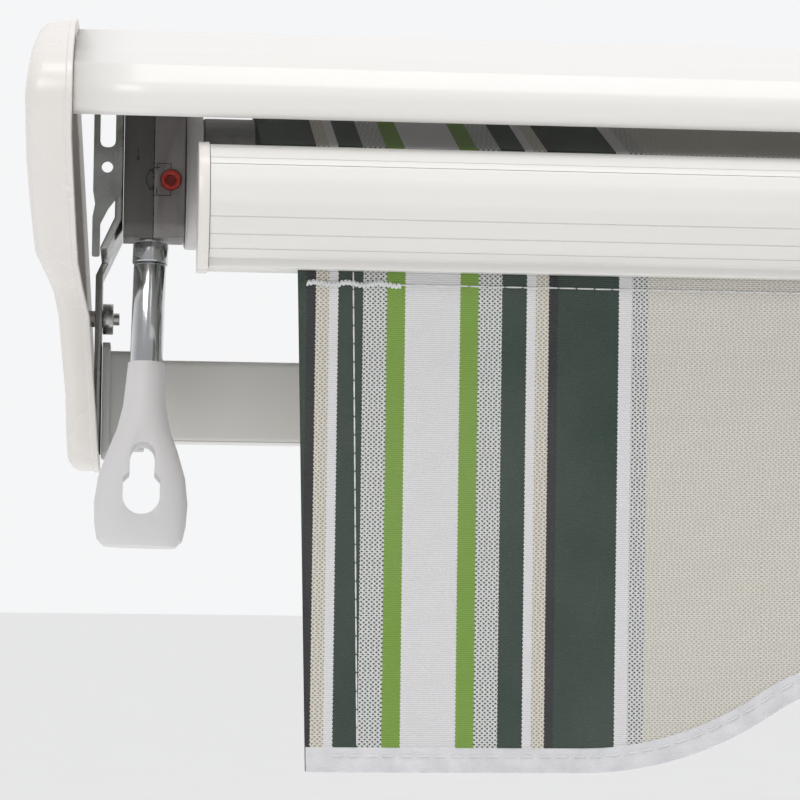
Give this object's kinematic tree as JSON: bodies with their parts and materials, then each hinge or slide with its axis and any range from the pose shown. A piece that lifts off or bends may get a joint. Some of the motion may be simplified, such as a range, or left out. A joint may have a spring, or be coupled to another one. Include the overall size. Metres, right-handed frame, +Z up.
{
  "type": "folding arm awning",
  "caption": "Half-cassette awning with two folding arms, crank gearbox, striped canvas canopy and scalloped valance, for fixing to a wall.",
  "frame": {"origin": "centre of the back face of the left wall bracket", "axes": "+X to the right along the wall, +Y into the wall, +Z up"},
  "size_m": [2, 0.2304, 0.348],
  "materials": {
    "white_paint": "glossy powder coat",
    "white_plastic": "satin moulded plastic",
    "zinc": "zinc plated steel",
    "cast_metal": "grey die casting",
    "red_plastic": "red moulded plastic",
    "canvas": "woven awning canvas in green, lime, white and tan stripes"
  },
  "bodies": {
    "frame": {"torsion_bar": "white_paint", "hood": "white_paint", "gearbox_outer_half": "cast_metal", "gearbox_inner_half": "cast_metal", "gearbox_screw_front": "zinc", "gearbox_screw_rear": "zinc", "idler_pin": "zinc", "end_socket_left": "white_paint", "wall_bracket_left": "white_paint", "bracket_bolt_left": "zinc", "end_cover_left": "white_paint", "cover_screw_left": "zinc", "side_plate_left": "cast_metal", "plate_bolt_left": "zinc", "shoulder_bracket_left": "white_paint", "shoulder_pin_left": "zinc", "end_socket_right": "white_paint", "wall_bracket_right": "white_paint", "bracket_bolt_right": "zinc", "end_cover_right": "white_paint", "cover_screw_right": "zinc", "side_plate_right": "cast_metal", "plate_bolt_right": "zinc", "shoulder_bracket_right": "white_paint", "shoulder_pin_right": "zinc"},
    "rear_arm_left": {"arm_knuckle_left": "white_paint", "rear_arm_left": "white_paint", "elbow_fork_left": "white_paint", "elbow_pin_left": "zinc"},
    "forearm_left": {"elbow_tongue_left": "white_paint", "forearm_left": "white_paint", "forearm_tip_left": "white_paint", "arm_spring_left": "zinc"},
    "rear_arm_right": {"arm_knuckle_right": "white_paint", "rear_arm_right": "white_paint", "elbow_fork_right": "white_paint", "elbow_pin_right": "zinc"},
    "forearm_right": {"elbow_tongue_right": "white_paint", "forearm_right": "white_paint", "forearm_tip_right": "white_paint", "arm_spring_right": "zinc"},
    "front_bar": {"front_bar": "white_paint", "front_bar_cap_left": "white_plastic", "front_bar_cap_right": "white_plastic", "arm_foot_left": "white_paint", "arm_foot_right": "white_paint", "tip_pin_left": "zinc", "tip_pin_right": "zinc", "valance": "canvas"},
    "roller": {"worm_wheel": "zinc", "roller_disc_left": "white_plastic", "roller_disc_right": "white_plastic", "roller_tube": "zinc", "canvas_roll": "canvas"},
    "crank": {"worm_shaft": "zinc", "crank_collar": "zinc", "crank_tube": "zinc", "crank_eye": "white_plastic"},
    "limit_screw": {"limit_screw": "red_plastic"},
    "canopy": {"canopy": "canvas"}
  },
  "joints": [
    {"name": "shoulder_left", "type": "hinge", "parent": "frame", "child": "rear_arm_left", "pos_m": [-0.1, -0.112, 0.04], "axis": [0, 0.2419, -0.9703], "range_deg": [0, 63]},
    {"name": "elbow_left", "type": "hinge", "parent": "rear_arm_left", "child": "forearm_left", "pos_m": [0.61938, -0.14111, 0.03274], "axis": [0, 0.2419, -0.9703], "range_deg": [-126, 0]},
    {"name": "tip_left", "type": "hinge", "parent": "forearm_left", "child": "front_bar", "pos_m": [-0.1, -0.17022, 0.02549], "axis": [0, 0.2419, -0.9703], "range_deg": [0, 63]},
    {"name": "shoulder_right", "type": "hinge", "parent": "frame", "child": "rear_arm_right", "pos_m": [1.5, -0.112, 0.04], "axis": [0, 0.2419, -0.9703], "range_deg": [-63, 0]},
    {"name": "elbow_right", "type": "hinge", "parent": "rear_arm_right", "child": "forearm_right", "pos_m": [0.78063, -0.14111, 0.03274], "axis": [0, 0.2419, -0.9703], "range_deg": [0, 126]},
    {"name": "canopy_feed", "type": "slide", "parent": "frame", "child": "canopy", "axis": [0, -0.9703, -0.2419], "range_m": [0, 1.2493], "deforming": ["canopy"]},
    {"name": "roller_spin", "type": "hinge", "parent": "frame", "child": "roller", "pos_m": [-0.2429, -0.1, 0.103], "axis": [1, 0, 0], "range_deg": [0, 2075.1]},
    {"name": "crank_spin", "type": "hinge", "parent": "frame", "child": "crank", "pos_m": [-0.2429, -0.12401, 0.10637], "axis": [0.0225, 0.1392, 0.99], "range_deg": [0, 26974.3]},
    {"name": "limit_screw_turn", "type": "hinge", "parent": "frame", "child": "limit_screw", "pos_m": [-0.2352, -0.1479, 0.098], "axis": [0, -1, 0], "continuous": true}
  ],
  "couplings": [
    {"joint": "elbow_left", "follows": "shoulder_left", "ratio": -2},
    {"joint": "tip_left", "follows": "shoulder_left", "ratio": 1},
    {"joint": "shoulder_right", "follows": "shoulder_left", "ratio": -1},
    {"joint": "elbow_right", "follows": "shoulder_left", "ratio": 2},
    {"joint": "canopy_feed", "follows": "shoulder_left", "m_per_rad": 1.1361},
    {"joint": "roller_spin", "follows": "shoulder_left", "ratio": 32.93},
    {"joint": "crank_spin", "follows": "shoulder_left", "ratio": 428.08}
  ]
}
